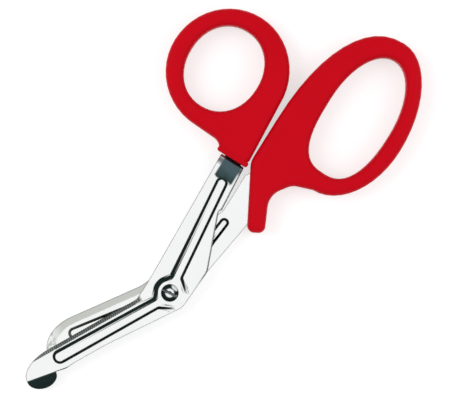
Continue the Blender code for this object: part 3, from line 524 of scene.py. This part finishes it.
def draw_in_rib(mesh):
    """Draw in the jaw rib's cutting side, its foot beside the boss and its crest all along."""
    side = flat_direction(JAW_ANGLE - math.pi / 2)
    for vertex in mesh.vertices:
        off = vertex.co - PIVOT
        height = (off.z - HALF_GAP - SHEET) / PRESSED
        off.z = 0
        place = off.dot(flat_direction(JAW_ANGLE))
        across = off.dot(side)
        on_boss = BOSS_RING[0] < off.length < BOSS_RING[1]
        on_rib = place > RIB_START and across < RIB_SIDE
        if on_boss or on_rib:
            draw = RIB_DRAW * share_at(RIB_SHARES, place)
            draw += CREST_DRAW * share_at(CREST_SHARES, place) * within(height)
            past_centre = within((across + MM) / (2 * MM))
            vertex.co -= side * float(draw * past_centre)


def reshape_foot_blade(mesh):
    draw_in_rib(mesh)
    lower_ribs(mesh, PIVOT.z + HALF_GAP, 1)
    open_foot(mesh)


def reshape_top_blade(mesh):
    lower_ribs(mesh, PIVOT.z - HALF_GAP, -1)


def reshape_screw(mesh):
    """Seat the head on the lowered boss and give it a flatter dome."""
    rim = max(vertex.co.z for vertex in mesh.vertices) - DOME
    solid_power, seen_power = DOME_POWERS
    for vertex in mesh.vertices:
        if vertex.co.z < PIVOT.z + SHEET + HALF_GAP:
            continue
        share = within((vertex.co.z - rim) / DOME)
        radius = (1 - share) ** (1 / solid_power)
        if share > 0:
            vertex.co.z = rim + DOME_SEEN * (1 - radius ** seen_power)
        vertex.co.z -= PRESSED - PRESSED_SEEN


# Pieces


def dressed(name, source, body, mat, smooth_angle, reshape=None):
    """The visible form of a node: its solid, reshaped if need be and shaded as one surface."""
    mesh = nodes[source].data.copy()
    mesh.name = name
    bm = bmesh.new()
    bm.from_mesh(mesh)
    bmesh.ops.remove_doubles(bm, verts=bm.verts, dist=0.001 * MM)
    bm.to_mesh(mesh)
    bm.free()
    if reshape is not None:
        reshape(mesh)
    mesh.materials.clear()
    mesh.materials.append(mat)
    mesh.shade_smooth()
    mesh.set_sharp_from_angle(angle=math.radians(smooth_angle))
    piece = bpy.data.objects.new(name, mesh)
    bpy.context.scene.collection.objects.link(piece)
    weighted = piece.modifiers.new("weighted_normals", "WEIGHTED_NORMAL")
    weighted.keep_sharp = True
    weighted.weight = 80
    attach(piece, body)
    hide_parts(source)
    return piece


foot_steel = foot_blade_material()
top_steel = top_blade_material()
turned_steel = pivot_material()
red = plastic_material()

dressed("foot_blade_form", "foot_blade", "foot_half", foot_steel, 1, reshape_foot_blade)
dressed("top_blade_form", "top_blade", "top_half", top_steel, 1, reshape_top_blade)
dressed("thumb_handle_form", "thumb_handle", "foot_half", red, 50)
dressed("finger_handle_form", "finger_handle", "top_half", red, 50)
dressed("pivot_screw_form", "pivot_screw", "foot_half", turned_steel, 35, reshape_screw)
dressed("spring_washer_form", "spring_washer", "foot_half", turned_steel, 35)
dressed("pivot_nut_form", "pivot_nut", "foot_half", turned_steel, 25)


# Floor, light and camera


def make_floor():
    """White paper, which holds the shears' shadow and glows to the camera and in reflections."""
    bpy.ops.mesh.primitive_plane_add(size=FLOOR_SIZE)
    floor = bpy.context.object
    floor.name = "floor"
    mat, tree, shader = new_material("white_floor")
    tree.nodes.remove(shader)
    paper = add(tree, "BsdfDiffuse", Color=(*PAPER_SEEN, 1.0))
    glow = add(tree, "Emission", Strength=FLOOR_GLOW)
    both = add(tree, "AddShader")
    tree.links.new(paper.outputs[0], both.inputs[0])
    tree.links.new(glow.outputs[0], both.inputs[1])
    path = add(tree, "LightPath")
    plain = add(tree, "BsdfDiffuse", Color=(*PAPER_LIT, 1.0))
    straight = math_node(tree, "MAXIMUM", path.outputs["Is Camera Ray"], path.outputs["Is Glossy Ray"])
    seen = add(tree, "MixShader")
    for socket, output in zip(seen.inputs, (straight, plain.outputs[0], both.outputs[0])):
        tree.links.new(output, socket)
    tree.links.new(seen.outputs[0], tree.nodes["Material Output"].inputs["Surface"])
    floor.data.materials.append(mat)


def make_world():
    """A white dome, which the steel mirrors as white overhead and grey towards the horizon."""
    world = bpy.data.worlds.new("light_tent")
    bpy.context.scene.world = world
    world.use_nodes = True
    tree = world.node_tree
    back = tree.nodes["Background"]
    height = axis(tree, add(tree, "TexCoord").outputs["Generated"], "Z")
    room = mix_colour(tree, ramp(tree, height, 0.15, 0.85), HORIZON_GREY, WHITE)
    path = add(tree, "LightPath")
    feed(tree, back.inputs["Color"], mix_colour(tree, path.outputs["Is Glossy Ray"], WHITE, room))
    dimmed = product(tree, path.outputs["Is Diffuse Ray"], DOME_LIGHT - 1.0)
    feed(tree, back.inputs["Strength"], math_node(tree, "ADD", dimmed, 1.0))


def make_lamp(name, direction, power):
    data = bpy.data.lights.new(name, "AREA")
    data.shape = "DISK"
    data.size = LAMP_SIZE
    data.energy = power
    lamp = bpy.data.objects.new(name, data)
    bpy.context.scene.collection.objects.link(lamp)
    lamp.location = Vector(direction).normalized() * LAMP_DISTANCE
    lamp.rotation_euler = Vector(direction).to_track_quat("Z", "Y").to_euler()
    lamp.visible_glossy = False


def make_camera():
    data = bpy.data.cameras.new("camera")
    data.sensor_width = SENSOR
    data.lens = SENSOR * CAMERA_HEIGHT / PHOTO_WIDTH
    data.clip_start = 0.01
    camera = bpy.data.objects.new("camera", data)
    bpy.context.scene.collection.objects.link(camera)
    camera.location = PIVOT + Vector((*PHOTO_MIDDLE, CAMERA_HEIGHT))
    camera.rotation_euler = (0, 0, PHOTO_TURN)
    bpy.context.scene.camera = camera


make_floor()
make_world()
make_lamp("key", (-0.2, 0.8, 0.9), 2.65)
make_lamp("fill", (0.5, -0.8, 0.8), 1.75)
make_camera()
bpy.context.scene.view_settings.view_transform = "Standard"
